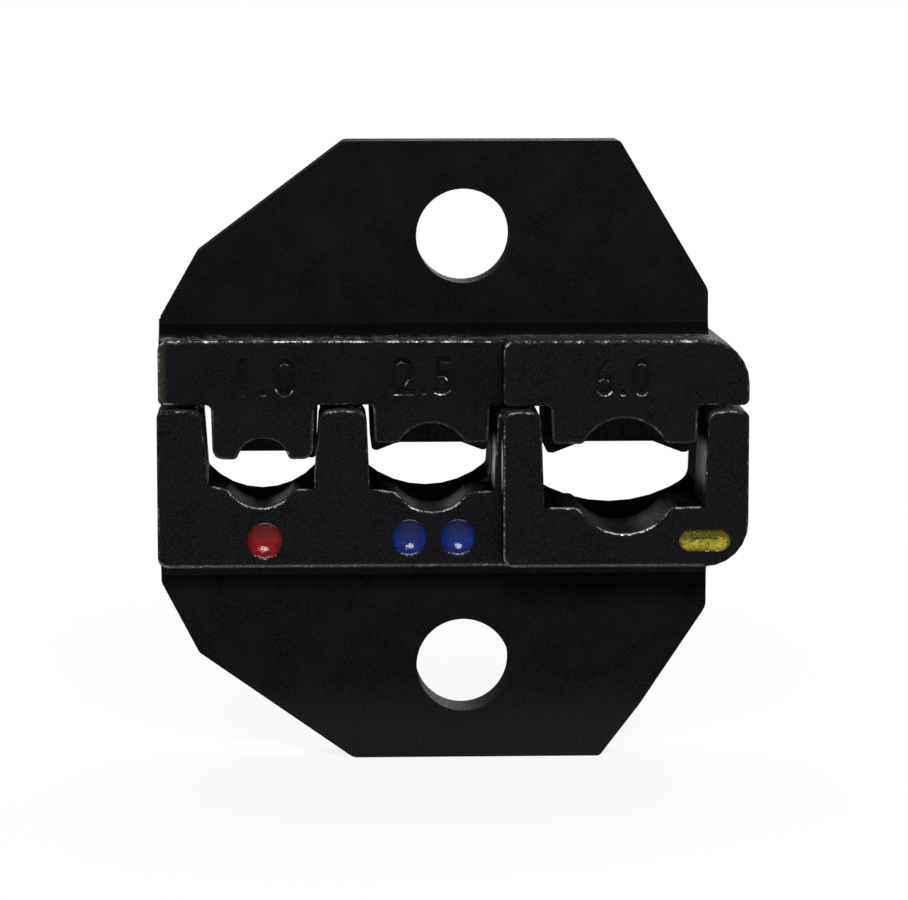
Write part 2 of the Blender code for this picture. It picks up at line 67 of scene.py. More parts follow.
# Planes of the dies in mm: y runs from the marked face to the back, z from the bottom up
PAD_FRONT = -5.55
BLOCK_FRONT = -3.8
TAB_FRONT = -1.5
LEFT_EDGE = -17.9
BLOCK_BOTTOM = 11.75
SEAM = 21.0
BLOCK_TOP = 25.1
HOLE_HEIGHTS = (5.53, 30.92)
HOLE_RADIUS = 2.75

# The room that the nests take up, in mm
NEST_LEFT, NEST_RIGHT = -16.0, 14.0
NEST_LOW, NEST_HIGH = 12.6, 20.7
PUNCH_HIGH = 20.9

# The grooves in the nests' floors: middle and half width in mm
GROOVES = ((-11.84, 1.9), (-1.9, 2.1), (9.18, 2.675))

# Numerals: text, left, right, bottom, top and the face they are stamped in, in mm
NUMERALS = (
    ("1.0", -13.09, -9.76, 21.75, 24.08, BLOCK_FRONT),
    ("2.5", -4.16, -0.66, 21.81, 24.14, BLOCK_FRONT),
    ("6.0", 7.40, 10.75, 21.90, 24.21, PAD_FRONT),
)
NUMERAL_DEPTH = 0.16
NUMERAL_DRAFT = 0.09

WELD = 0.001 * MM
FLAT_ANGLE = math.radians(0.3)
SHARP_ANGLE = math.radians(38)


# Node trees

class Tree:
    """Short calls for building one material's nodes."""

    def __init__(self, name):
        self.material = bpy.data.materials.new(name)
        self.material.use_nodes = True
        self.nodes = self.material.node_tree.nodes
        self.links = self.material.node_tree.links
        self.nodes.clear()
        self.output = self.nodes.new("ShaderNodeOutputMaterial")
        self.shader = self.nodes.new("ShaderNodeBsdfPrincipled")
        self.links.new(self.shader.outputs[0], self.output.inputs[0])
        self.place = self.nodes.new("ShaderNodeTexCoord").outputs["Object"]
        self.turned = self.stretch(1.0, 1.0, 1.0, (0.5, 0.7, 0.3))

    def feed(self, socket, value):
        if isinstance(value, bpy.types.NodeSocket):
            self.links.new(value, socket)
        elif isinstance(value, tuple) and len(value) == 3 and socket.type == "RGBA":
            socket.default_value = (*value, 1)
        else:
            socket.default_value = value

    def set(self, name, value):
        self.feed(self.shader.inputs[name], value)

    def math(self, operation, a, b=0.0, clamp=False):
        node = self.nodes.new("ShaderNodeMath")
        node.operation = operation
        node.use_clamp = clamp
        self.feed(node.inputs[0], a)
        self.feed(node.inputs[1], b)
        return node.outputs[0]

    def product(self, first, *others):
        for other in others:
            first = self.math("MULTIPLY", first, other)
        return first

    def ramp(self, value, low, high, to_low=0.0, to_high=1.0, smooth=False):
        node = self.nodes.new("ShaderNodeMapRange")
        node.clamp = True
        node.interpolation_type = "SMOOTHSTEP" if smooth else "LINEAR"
        for slot, part in zip(range(5), (value, low, high, to_low, to_high)):
            self.feed(node.inputs[slot], part)
        return node.outputs[0]

    def span(self, place, start, end, to_start=0.0, to_end=1.0, smooth=False):
        """A ramp between two places along an axis, given in mm."""
        return self.ramp(place, start * MM, end * MM, to_start, to_end, smooth)

    def mark(self, name, strength):
        """A painted mark, scaled to a strength."""
        return self.ramp(self.attribute(name), 0.0, 1.0, 0.0, strength)

    def mix(self, factor, a, b):
        node = self.nodes.new("ShaderNodeMix")
        node.data_type = "RGBA"
        node.clamp_factor = True
        self.feed(node.inputs[0], factor)
        self.feed(node.inputs[6], a)
        self.feed(node.inputs[7], b)
        return node.outputs[2]

    def stretch(self, x, y, z, turn=(0.0, 0.0, 0.0)):
        node = self.nodes.new("ShaderNodeMapping")
        self.links.new(self.place, node.inputs["Vector"])
        node.inputs["Rotation"].default_value = turn
        node.inputs["Scale"].default_value = (x, y, z)
        return node.outputs[0]

    def noise(self, size, detail=3.0, rough=0.55, place=None, twist=0.0):
        """A noise whose blotches are about size mm across."""
        node = self.nodes.new("ShaderNodeTexNoise")
        self.links.new(place or self.turned, node.inputs["Vector"])
        node.inputs["Scale"].default_value = 1.0 / (size * MM)
        node.inputs["Detail"].default_value = detail
        node.inputs["Roughness"].default_value = rough
        node.inputs["Distortion"].default_value = twist
        return node.outputs[0]

    def along(self, axis):
        """The place along x, y or z, in metres."""
        node = self.nodes.new("ShaderNodeSeparateXYZ")
        self.links.new(self.place, node.inputs[0])
        return node.outputs[axis]

    def attribute(self, name):
        node = self.nodes.new("ShaderNodeAttribute")
        node.attribute_name = name
        return node.outputs["Fac"]

    def bump(self, height, depth, strength=1.0):
        """A bump whose full height is depth mm."""
        node = self.nodes.new("ShaderNodeBump")
        node.inputs["Strength"].default_value = strength
        node.inputs["Distance"].default_value = depth * MM
        self.links.new(height, node.inputs["Height"])
        return node.outputs[0]


# Steel

def oxide_black(tree, across, depth, height, grain, cloud):
    """The blacking: darker on the tabs and the upper block, and greyer at the very bottom with
    painted bounce light from the floor.
    """
    black = tree.mix(tree.ramp(grain, 0.38, 0.62), (0.0009, 0.0008, 0.0011), (0.0088, 0.0082, 0.0099))
    tab = tree.product(
        tree.span(depth, TAB_FRONT - 1.1, TAB_FRONT - 0.2, 0.0, 0.35),
        tree.span(height, 2.2, 6.0, smooth=True),
    )
    black = tree.mix(tab, black, (0.0012, 0.0010, 0.0016))
    # Painted bounce light from the floor: the lower tab turns lighter towards the bottom.
    bottom = tree.span(height, 1.2, 5.0, 0.40, 0.0, smooth=True)
    black = tree.mix(bottom, black, (0.0150, 0.0145, 0.0165))
    upper_block = tree.product(
        tree.span(height, SEAM - 0.1, SEAM + 0.3, 0.0, 0.22),
        tree.span(across, 1.5, 2.5, 1.0, 0.2),
    )
    black = tree.mix(upper_block, black, (0.0012, 0.0010, 0.0014))
    clouded = tree.ramp(cloud, 0.42, 0.68, 0.0, 0.45)
    return tree.mix(clouded, black, (0.0068, 0.0064, 0.0074))


def ledge_wear_and_sheen(tree, depth, height):
    """Rubbed specks on the narrow ledge behind the upper block's top edge: worn blacking, and painted
    sheen where the ledge's top face catches the light.
    """
    return tree.product(
        tree.span(height, BLOCK_TOP - 0.28, BLOCK_TOP - 0.08),
        tree.span(height, BLOCK_TOP + 0.15, BLOCK_TOP + 0.25, 1.0, 0.0),
        tree.span(depth, TAB_FRONT - 0.9, TAB_FRONT - 0.4, 0.36, 0.0),
        tree.span(depth, BLOCK_FRONT - 0.4, BLOCK_FRONT - 0.1, 0.4, 1.0),
    )


def painted_bounce_hem(tree, depth, height):
    """Painted bounce light from the floor: a faint pale line along the lower block's bottom edge."""
    return tree.product(
        tree.span(height, BLOCK_BOTTOM + 0.11, BLOCK_BOTTOM + 0.29, 0.28, 0.0),
        tree.span(height, BLOCK_BOTTOM - 0.05, BLOCK_BOTTOM + 0.01),
        tree.span(depth, BLOCK_FRONT + 0.2, BLOCK_FRONT + 0.5, 1.0, 0.0),
    )


def brushed_sheen_patch(tree, depth, height):
    """Bare metal with brush marks and a painted sheen half way up the nests' walls, strongest in
    front.
    """
    return tree.product(
        tree.span(height, 16.0, 17.6, smooth=True),
        tree.span(height, 18.4, 19.5, 1.0, 0.0, smooth=True),
        tree.span(depth, 0.2, 1.2, 1.0, 0.25, smooth=True),
        tree.attribute("brushed_sheen"),
    )


def brown_edge(tree, across, depth, height, speck):
    """A brown film on the upper block's left edge."""
    return tree.product(
        tree.span(across, LEFT_EDGE + 0.28, LEFT_EDGE + 0.75, 1.0, 0.0, smooth=True),
        tree.span(height, SEAM + 0.2, SEAM + 0.6, smooth=True),
        tree.span(height, BLOCK_TOP - 0.2, BLOCK_TOP + 0.05, 1.0, 0.0),
        tree.span(depth, BLOCK_FRONT + 0.2, BLOCK_FRONT + 0.4, 1.0, 0.0),
        tree.ramp(speck, 0.38, 0.62, 0.1, 1.0),
    )


def oxide_steel():
    """Blacked steel; the marks that paint_masks leaves say where it is rubbed, dust-covered or
    stained, and where painted shade, painted light, painted sheen and painted glints lie.
    """
    tree = Tree("black_oxide_steel_detail")
    across, depth, height = (tree.along(axis) for axis in (X, Y, Z))
    grain = tree.noise(0.10, 4.0, 0.7)
    fine = tree.noise(0.05, 2.0, 0.5)
    cloud = tree.noise(2.2, 4.0, 0.6)
    speck = tree.noise(0.11, 3.0, 0.75, twist=0.4)
    blot = tree.noise(0.55, 3.0, 0.6, twist=0.3)
    streak = tree.noise(0.12, 3.0, 0.6, tree.stretch(1.0, 1.0, 0.06))
    deep = tree.attribute("deep")
    wear_and_sheen = tree.math("MAXIMUM", tree.attribute("wear_and_sheen"), ledge_wear_and_sheen(tree, depth, height))

    colour = oxide_black(tree, across, depth, height, grain, cloud)
    # Painted shade: near black where the deep mark lies, on the nests' floors and steps and in the
    # fillet above the upper block.
    colour = tree.mix(deep, colour, (0.0014, 0.0012, 0.0020))
    # Painted light on the grooves' lit flanks, fading towards the back where the punches' shadow
    # falls.
    painted_floor_light = tree.math("MULTIPLY", tree.attribute("lit"), tree.span(depth, -1.8, 0.25, 1.0, 0.3))
    painted_floor_light = tree.math("MULTIPLY", painted_floor_light, tree.ramp(speck, 0.34, 0.56))
    colour = tree.mix(painted_floor_light, colour, (0.125, 0.122, 0.127))
    # Dust, and a pale tone as painted light: bounce light at the lower block's bottom, fill light in
    # the nests and at the seam, sheen on top faces, punch edges and hole walls.
    dust_and_painted_light = tree.math("MAXIMUM", tree.attribute("dust"), painted_bounce_hem(tree, depth, height))
    pale = tree.mix(tree.ramp(speck, 0.38, 0.62), (0.018, 0.017, 0.018), (0.110, 0.106, 0.104))
    colour = tree.mix(dust_and_painted_light, colour, pale)
    # Painted sheen: a bright diffuse streak on bare metal where the left lamp lights the nests'
    # walls.
    bare = tree.mix(tree.ramp(streak, 0.34, 0.56), (0.020, 0.020, 0.020), (0.90, 0.87, 0.80))
    colour = tree.mix(brushed_sheen_patch(tree, depth, height), colour, bare)
    stain = tree.mix(tree.ramp(speck, 0.35, 0.65), (0.020, 0.012, 0.009), (0.30, 0.21, 0.16))
    colour = tree.mix(tree.attribute("rust"), colour, stain)
    colour = tree.mix(brown_edge(tree, across, depth, height, speck), colour, (0.040, 0.032, 0.022))

    # Rubbed and bright metal: worn blacking on the rounded edges, and painted glints and sheen on the
    # numerals' walls and the ledge.
    bitten = tree.math("ADD", wear_and_sheen, tree.math("MULTIPLY", speck, 1.3))
    blotched = tree.math("MULTIPLY", tree.math("SUBTRACT", blot, 0.5), 1.3)
    bitten = tree.math("ADD", bitten, blotched)
    worn = tree.ramp(wear_and_sheen, 0.02, 0.2)
    bright = tree.math("MULTIPLY", tree.ramp(bitten, 1.08, 1.42, smooth=True), worn)
    rubbed = tree.math("MULTIPLY", tree.ramp(bitten, 0.74, 1.25, 0.0, 0.8), worn)
    colour = tree.mix(rubbed, colour, (0.052, 0.048, 0.046))
    colour = tree.mix(bright, colour, (0.62, 0.60, 0.58))
    tree.set("Base Color", colour)
    tree.set("Metallic", bright)
    rough = tree.ramp(fine, 0.3, 0.7, 0.52, 0.74)
    rough = tree.ramp(deep, 0.0, 1.0, rough, 0.95)
    tree.set("Roughness", tree.ramp(bright, 0.0, 1.0, rough, 0.38))
    tree.set("Specular IOR Level", tree.ramp(deep, 0.0, 1.0, 0.035, 0.0))
    relief = tree.math("ADD", tree.math("MULTIPLY", grain, 0.7), tree.math("MULTIPLY", fine, 0.3))
    tree.set("Normal", tree.bump(relief, 0.020))
    return tree.material


# Enamel

def gloss_enamel(name, deep, full, shade_and_dust):
    """Smooth paint in a dimple: greyish painted shade at the top, darker at the edge, painted glints
    at the lower rim.
    """
    tree = Tree(name)
    edge = tuple(part * 0.35 for part in deep)
    body = tree.noise(0.5, 2.0, 0.5)
    dust = tree.noise(0.07, 2.0, 0.6)
    ripple = tree.noise(0.20, 2.0, 0.55)
    colour = tree.mix(tree.ramp(body, 0.35, 0.65), full, deep)
    # Painted shade over the top of the bowl; the same colour also serves the dust specks below.
    colour = tree.mix(tree.mark("top", 0.85), colour, shade_and_dust)
    colour = tree.mix(tree.mark("edge", 0.9), colour, edge)
    colour = tree.mix(tree.ramp(dust, 0.64, 0.72, 0.0, 0.25), colour, shade_and_dust)
    # Painted glints along the lower rim.
    lip_glint_spots = tree.math("MULTIPLY", tree.attribute("lip_glint"), tree.ramp(dust, 0.53, 0.59))
    colour = tree.mix(lip_glint_spots, colour, (0.55, 0.46, 0.40))
    tree.set("Base Color", colour)
    tree.set("Roughness", tree.ramp(dust, 0.4, 0.7, 0.09, 0.22))
    tree.set("Specular IOR Level", 0.42)
    tree.set("Normal", tree.bump(ripple, 0.03, 0.8))
    return tree.material


def rough_enamel():
    """Pitted yellow paint with a painted highlight band, painted shade at the top and along the edge,
    a dirty crack, a bare end and painted glints under the lower rim.
    """
    tree = Tree("yellow_enamel_detail")
    body = tree.noise(0.35, 3.0, 0.6)
    pit = tree.noise(0.075, 3.0, 0.7)
    dirt = tree.noise(0.12, 3.0, 0.7, twist=0.5)
    crack = tree.attribute("crack")
    colour = tree.mix(tree.ramp(body, 0.38, 0.60), (0.08, 0.076, 0.001), (0.28, 0.268, 0.003))
    # Painted shadow of the pocket's upper wall over the top of the paint.
    colour = tree.mix(tree.mark("top", 0.85), colour, (0.050, 0.046, 0.002))
    colour = tree.mix(tree.mark("bare", 0.45), colour, (0.42, 0.20, 0.02))
    # Painted highlight: a pale band just below the middle.
    colour = tree.mix(tree.mark("pale", 0.42), colour, (0.44, 0.41, 0.07))
    colour = tree.mix(tree.ramp(pit, 0.58, 0.68, 0.0, 0.6), colour, (0.62, 0.58, 0.05))
    grime = tree.ramp(dirt, 0.50, 0.62, 0.0, 0.85)
    grime = tree.math("MULTIPLY", grime, tree.ramp(crack, 0.0, 1.0, 0.8, 1.6), clamp=True)
    colour = tree.mix(grime, colour, (0.016, 0.014, 0.004))
    colour = tree.mix(tree.ramp(crack, 0.1, 0.6, 0.0, 0.95), colour, (0.012, 0.011, 0.002))
    # Painted shade along the pocket's edge.
    colour = tree.mix(tree.mark("edge", 0.85), colour, (0.030, 0.027, 0.003))
    # Painted glints under the lower rim.
    lip_glint_spots = tree.math("MULTIPLY", tree.attribute("lip_glint"), tree.ramp(pit, 0.50, 0.56))
    colour = tree.mix(lip_glint_spots, colour, (0.80, 0.66, 0.60))
    tree.set("Base Color", colour)
    tree.set("Roughness", tree.ramp(pit, 0.3, 0.7, 0.34, 0.6))
    tree.set("Specular IOR Level", 0.14)
    tree.set("Normal", tree.bump(pit, 0.035, 0.9))
    return tree.material


STEEL = oxide_steel()
RED = gloss_enamel(
    "red_enamel_detail", (0.10, 0.003, 0.005), (0.22, 0.003, 0.006), (0.085, 0.015, 0.019)
)
BLUE = gloss_enamel(
    "blue_enamel_detail", (0.004, 0.010, 0.070), (0.005, 0.018, 0.15), (0.017, 0.020, 0.062)
)
YELLOW = rough_enamel()


# Shapes

def linked(name, data):
    """A new object of that data, in the scene."""
    made = bpy.data.objects.new(name, data)
    bpy.context.scene.collection.objects.link(made)
    return made


def mesh_of(shape, name):
    """The bmesh as a new mesh; the bmesh is freed."""
    mesh = bpy.data.meshes.new(name)
    shape.to_mesh(mesh)
    shape.free()
    return mesh


def welded(node):
    """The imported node's surface as one closed mesh."""
    shape = bmesh.new()
    shape.from_mesh(frame["nodes"][node].data)
    for layer in list(shape.loops.layers.float_vector):
        shape.loops.layers.float_vector.remove(layer)
    bmesh.ops.remove_doubles(shape, verts=shape.verts, dist=WELD)
    return shape


def text_mesh(text):
    """The text as a flat mesh, before it is fitted to its place."""
    curve = bpy.data.curves.new("stamp", "FONT")
    curve.body = text
    curve.size = 1.0
    curve.offset = 0.02
    curve.resolution_u = 5
    curve.space_character = 1.12
    letters = linked("stamp", curve)
    bpy.context.view_layer.update()
    mesh = bpy.data.meshes.new_from_object(letters)
    bpy.data.objects.remove(letters)
    bpy.data.curves.remove(curve)
    return mesh


def outward_ways(shape):
    """For each vertex on a flat shape's outline, the way out of the shape."""
    outward = {}
    for edge in [edge for edge in shape.edges if edge.is_boundary]:
        inner = edge.link_faces[0].calc_center_median() - edge.verts[0].co
        along = (edge.verts[1].co - edge.verts[0].co).normalized()
        away = -(inner - along * inner.dot(along)).normalized()
        for v in edge.verts:
            outward[v] = outward.get(v, Vector()) + away
    return outward


def numeral_cutter(text, left, right, low, high, face):
    """A stamped numeral: a flat floor, and walls that open out towards the face."""
    left, right, low, high, face = (size * MM for size in (left, right, low, high, face))
    flat = text_mesh(text)
    shape = bmesh.new()
    shape.from_mesh(flat)
    bpy.data.meshes.remove(flat)
    bmesh.ops.remove_doubles(shape, verts=shape.verts, dist=0.004)
    bmesh.ops.dissolve_degenerate(shape, edges=shape.edges, dist=0.002)
    xs = [v.co.x for v in shape.verts]
    ys = [v.co.y for v in shape.verts]
    first_x, first_y = min(xs), min(ys)
    across = (right - left) / (max(xs) - first_x)
    up = (high - low) / (max(ys) - first_y)
    clear = face - 0.05 * MM
    for v in shape.verts:
        v.co = Vector((left + (v.co.x - first_x) * across, clear, low + (v.co.y - first_y) * up))
    outward = outward_ways(shape)
    faces, edges, floor = list(shape.faces), list(shape.edges), {}
    for v in list(shape.verts):
        inset = outward[v].normalized() * NUMERAL_DRAFT * MM if v in outward else Vector()
        floor[v] = shape.verts.new((v.co.x - inset.x, face + NUMERAL_DEPTH * MM, v.co.z - inset.z))
    for wall in [edge for edge in edges if edge.is_boundary]:
        start, end = wall.verts
        shape.faces.new((start, end, floor[end], floor[start]))
    for front in faces:
        shape.faces.new([floor[v] for v in front.verts])
    bmesh.ops.recalc_face_normals(shape, faces=shape.faces)
    bmesh.ops.triangulate(shape, faces=shape.faces)
    return linked("stamp", mesh_of(shape, "stamp"))


def cut(mesh, cutters):
    """The mesh with the cutters taken away from it."""
    block = linked("block", mesh)
    for cutter in cutters:
        step = block.modifiers.new("stamp", "BOOLEAN")
        step.operation = "DIFFERENCE"
        step.solver = "MANIFOLD"
        step.object = cutter
    bpy.context.view_layer.update()
    seen = block.evaluated_get(bpy.context.evaluated_depsgraph_get())
    result = bpy.data.meshes.new_from_object(seen)
    bpy.data.objects.remove(block)
    for cutter in cutters:
        bpy.data.objects.remove(cutter)
    return result


def is_rim(face):
    """Faces of the rounded edges turn partly to the front or the back."""
    return 0.10 < abs(face.normal.y) < 0.985


def convexity(vert):
    return sum(e.calc_face_angle_signed(0.0) for e in vert.link_edges)


def divide_rims(shape):
    """Cuts the rounded edges each millimetre, so that a mark can change along them."""
    whole_behind = 2.5 * MM
    for axis, low, high in ((X, -18, 17), (Z, 0, 37)):
        across = Vector((0, 0, 0))
        across[axis] = 1
        for step in range(low, high):
            place = across * (step + 0.45) * MM
            rims = [f for f in shape.faces if is_rim(f) and f.calc_center_median().y < whole_behind]
            edges = dict.fromkeys(e for f in rims for e in f.edges)
            verts = dict.fromkeys(v for f in rims for v in f.verts)
            geometry = [*verts, *edges, *rims]
            bmesh.ops.bisect_plane(
                shape, geom=geometry, dist=0.03 * MM, plane_co=place, plane_no=across
            )
            shape.normal_update()


# Marks on the dies

def within(value, low, high, soft):
    """1 inside the range, falling to 0 over soft outside it."""
    gap = max(low - value, value - high, 0.0)
    return max(0.0, 1.0 - gap / soft)


# Rubbed stretches of the front's rounded edges: x from, x to, z from, z to, how far, softness (mm)
RUBBED = [
    (-18.0, 16.5, 24.85, 25.4, 0.50, 0.3),
    (-8.1, -6.1, 20.6, 21.3, 0.56, 0.35),
    (2.5, 3.9, 20.6, 21.3, 0.54, 0.35),
    (14.2, 16.0, 20.6, 21.3, 0.54, 0.35),
    (-16.0, -15.5, 20.4, 21.1, 0.50, 0.3),
    (-14.8, -13.7, 15.6, 17.2, 0.66, 0.5),
    (-12.9, -10.6, 14.6, 16.0, 0.72, 0.7),
    (-9.7, -8.9, 15.6, 17.2, 0.60, 0.4),
    (-5.3, -4.0, 15.6, 16.9, 0.74, 0.6),
    (-3.3, -0.2, 14.4, 15.6, 0.72, 0.7),
    (0.2, 1.4, 15.6, 16.6, 0.54, 0.5),
    (4.7, 6.6, 14.6, 16.2, 0.80, 0.4),
    (7.8, 11.2, 13.2, 14.4, 0.88, 0.8),
    (11.9, 13.6, 14.6, 16.2, 0.62, 0.5),
    (2.0, 2.5, 12.0, 20.6, 0.50, 0.2),
    (2.0, 2.9, 11.8, 12.6, 0.72, 0.2),
    (-18.0, -17.3, 11.6, 12.3, 0.62, 0.3),
    (-18.0, -17.3, 21.2, 25.0, 0.50, 0.3),
]


def wear_here(point):
    """How far the blacking is rubbed through at a rounded edge."""
    x, y, z = point.x / MM, point.y / MM, point.z / MM
    if y < 0:
        amount = 0.30
        for left, right, low, high, far, soft in RUBBED:
            inside = within(x, left, right, soft) * within(z, low, high, 0.12)
            amount = max(amount, far * inside)
    else:
        outline = z > BLOCK_TOP - 0.3 or z < BLOCK_BOTTOM + 0.35
        amount = 0.42 if outline else 0.26
        if y > 5.4:
            largest_nest = within(x, 8.5, 12.8, 1.5) * within(z, 14.0, 17.6, 0.8)
            amount = max(amount, 0.80 * largest_nest)
    amount += 0.16 * noise.noise(point * 1500.0) + 0.08 * noise.noise(point * 4000.0)
    return max(0.0, min(1.0, amount))


def groove_light(point):
    """Painted light: the grooves' flanks are lighter than their middles and the shelves, where the
    key light reaches past the punches.
    """
    x = point.x / MM
    for middle, half in GROOVES:
        out = (x - middle) / half
        if abs(out) < 1.2:
            flank = within(abs(out), 0.55, 0.86, 0.30)
            amount = flank * (1.0 if out > 0 else 0.55) + 0.25 * within(abs(out), 0.0, 0.86, 0.14)
            return amount * (0.55 if middle > 0 else 1.0)
    return 0.0


def wall_shine(centre, normal):
    """How bare and sheened a nest's wall is: the painted sheen lies on the walls that face left,
    towards the left lamp, in the largest nest less so.
    """
    if normal.x > 0:
        return 0.06
    return 0.4 if centre.x > 10 else 1.0


def paint_masks(mesh, upper):
    """Marks on the surface: rubbed edges, brush-marked walls with painted sheen, rust, dust, painted
    glints on the numerals, painted shade in dark corners and on the nests' floors, painted light on
    lit floors, shaded faces and edges facing the floor.
    """
    shape = bmesh.new()
    shape.from_mesh(mesh)
    shape.normal_update()
    names = ("wear_and_sheen", "brushed_sheen", "rust", "lit", "deep", "dust")
    wear_and_sheen, brushed_sheen, rust, lit, deep, dust = [shape.loops.layers.float.new(name) for name in names]
    for face in shape.faces:
        centre = face.calc_center_median() / MM
        normal = face.normal
        rim = is_rim(face)
        side = abs(normal.y) < 0.1
        inside_nest = side and NEST_LOW < centre.z < NEST_HIGH and NEST_LEFT < centre.x < NEST_RIGHT
        upright = inside_nest and abs(normal.x) > 0.8
        floor = inside_nest and normal.z > 0.25 and centre.z < 18.0
        rusty = upright and normal.x > 0 and centre.x < -14.0
        stamped = SEAM + 0.6 < centre.z < BLOCK_TOP - 0.7 and centre.x < 11.5
        stamped = stamped and normal.z > 0.45 and abs(normal.y) < 0.9
        stamped = stamped and (
            0.01 < centre.y - PAD_FRONT < NUMERAL_DEPTH + 0.09
            or 0.01 < centre.y - BLOCK_FRONT < NUMERAL_DEPTH + 0.04
        )
        top_rim = rim and centre.z > BLOCK_TOP - 0.25 and centre.y < BLOCK_FRONT + 0.5
        bottom_rim = rim and BLOCK_BOTTOM - 0.25 < centre.z < BLOCK_BOTTOM + 0.35
        bottom_rim = bottom_rim and centre.y < BLOCK_FRONT + 0.8 and normal.z < -0.15
        punch_rim = upper and rim and centre.y < BLOCK_FRONT + 0.8 and centre.z < PUNCH_HIGH
        fillet = rim and 1.4 < abs(centre.y) < 2.6
        upper_fillet = fillet and BLOCK_TOP - 0.05 < centre.z < BLOCK_TOP + 1.2
        lower_fillet = fillet and BLOCK_BOTTOM - 1.25 < centre.z < BLOCK_BOTTOM + 0.05
        top = side and BLOCK_TOP - 0.1 < centre.z < BLOCK_TOP + 0.2 and abs(normal.z) > 0.9
        at_seam = side and SEAM - 0.6 < centre.z < SEAM + 0.7
        step = normal.y < -0.9 and -1.0 < centre.y < 1.5 and NEST_LOW < centre.z < PUNCH_HIGH
        from_hole = min(math.hypot(centre.x, centre.z - height) for height in HOLE_HEIGHTS)
        for loop in face.loops:
            vert = loop.vert
            on_edge = rim and convexity(vert) > 0.1
            amid_rims = all(is_rim(f) for f in vert.link_faces)
            if on_edge and amid_rims:
                loop[wear_and_sheen] = wear_here(vert.co)
                # Painted sheen: a pale line on the punches' rounded edges.
                if punch_rim:
                    loop[dust] = 0.40
            if on_edge and top_rim and not amid_rims:
                loop[wear_and_sheen] = 0.45 * wear_here(vert.co)
            # Painted bounce light from the floor on the lower block's bottom edge.
            if bottom_rim:
                loop[dust] = 0.75
            # Painted glints on the numerals' walls that face up.
            if stamped:
                loop[wear_and_sheen] = 0.43
            # Painted sheen on the bare walls that face the left lamp.
            if upright:
                loop[brushed_sheen] = wall_shine(centre, normal)
            # Painted light on the grooves' lit flanks, over painted shade on all of the nests'
            # floors.
            if floor:
                loop[lit] = groove_light(vert.co) if centre.y < 0.3 else 0.0
                loop[deep] = 1.0
            if rusty:
                loop[rust] = 0.5
            # Painted shade in the fillet above the upper block.
            if upper_fillet:
                above = vert.co.z / MM - (BLOCK_TOP + 0.2)
                loop[deep] = max(0.0, min(0.6, above / 0.2))
            # Dust, and painted sheen on the block's top faces, which catch the light at a grazing
            # angle.
            if top:
                loop[dust] = 0.25 if centre.y < -4.0 else 0.5
            # Dust, and painted light lifting the shaded faces at the seam.
            if at_seam:
                loop[dust] = 0.3 if abs(normal.x) > 0.5 else 1.0
            # Painted fill light on the nests' other faces, which look down and get little light.
            if inside_nest and not floor and not upright:
                loop[dust] = 0.8
            # Painted shade on the steps below the punches; higher up, a pale tone as painted fill
            # light.
            if step and centre.z < 17.6:
                loop[deep] = 1.0
            elif step:
                loop[dust] = 0.26
            # Painted sheen on the holes' walls.
            if side and from_hole < HOLE_RADIUS + 0.15:
                loop[dust] = 0.08
            # Painted bounce light from the floor in the fillet below the lower block.
            if lower_fillet:
                loop[dust] = 0.10
    shape.to_mesh(mesh)
    shape.free()


# The dies

def die(node, name, body, cutters=()):
    mesh = mesh_of(welded(node), name)
    if cutters:
        mesh = cut(mesh, cutters)
        mesh.name = name
    shape = bmesh.new()
    shape.from_mesh(mesh)
    bmesh.ops.remove_doubles(shape, verts=shape.verts, dist=WELD)
    bmesh.ops.dissolve_limit(
        shape, angle_limit=FLAT_ANGLE, verts=shape.verts, edges=shape.edges
    )
    shape.normal_update()
    divide_rims(shape)
    shape.to_mesh(mesh)
    shape.free()
    paint_masks(mesh, node == "upper_die")
    mesh.shade_smooth()
    mesh.set_sharp_from_angle(angle=SHARP_ANGLE)
    mesh.materials.clear()
    mesh.materials.append(STEEL)
    solid = linked(name, mesh)
    even = solid.modifiers.new("even shading", "WEIGHTED_NORMAL")
    even.keep_sharp = True
    even.weight = 60
    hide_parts(node)
    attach(solid, body)


die("lower_die", "lower_die_block", "lower_half")
die("upper_die", "upper_die_block", "upper_half", [numeral_cutter(*numeral) for numeral in NUMERALS])


# The paint

def closed_sheet(name, front, back, rings, spokes):
    """A closed skin from a front and a back surface over the same rings and spokes."""
    shape = bmesh.new()
    angles = [2 * math.pi * s / spokes for s in range(spokes)]
    rims = []
    for surface in (front, back):
        centre = shape.verts.new(surface(0.0, 0.0))
        grid = []
        for ring in range(1, rings + 1):
            grid.append([shape.verts.new(surface(ring / rings, angle)) for angle in angles])
        for s in range(spokes):
            after = (s + 1) % spokes
            shape.faces.new((centre, grid[0][s], grid[0][after]))
            for inner, outer in zip(grid, grid[1:]):
                shape.faces.new((inner[s], outer[s], outer[after], inner[after]))
        rims.append(grid[-1])
    ahead, behind = rims
    for s in range(spokes):
        after = (s + 1) % spokes
        shape.faces.new((ahead[s], ahead[after], behind[after], behind[s]))
    bmesh.ops.recalc_face_normals(shape, faces=shape.faces)
    mesh = mesh_of(shape, name)
    mesh.shade_smooth()
    return mesh


def mark_points(mesh, marks):
    for name, values in marks.items():
        mesh.attributes.new(name, "FLOAT", "POINT").data.foreach_set("value", values)


def paint_piece(node, name, mesh, material):
    piece = linked(name, mesh)
    piece.data.materials.append(material)
    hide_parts(node)
    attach(piece, "lower_half")


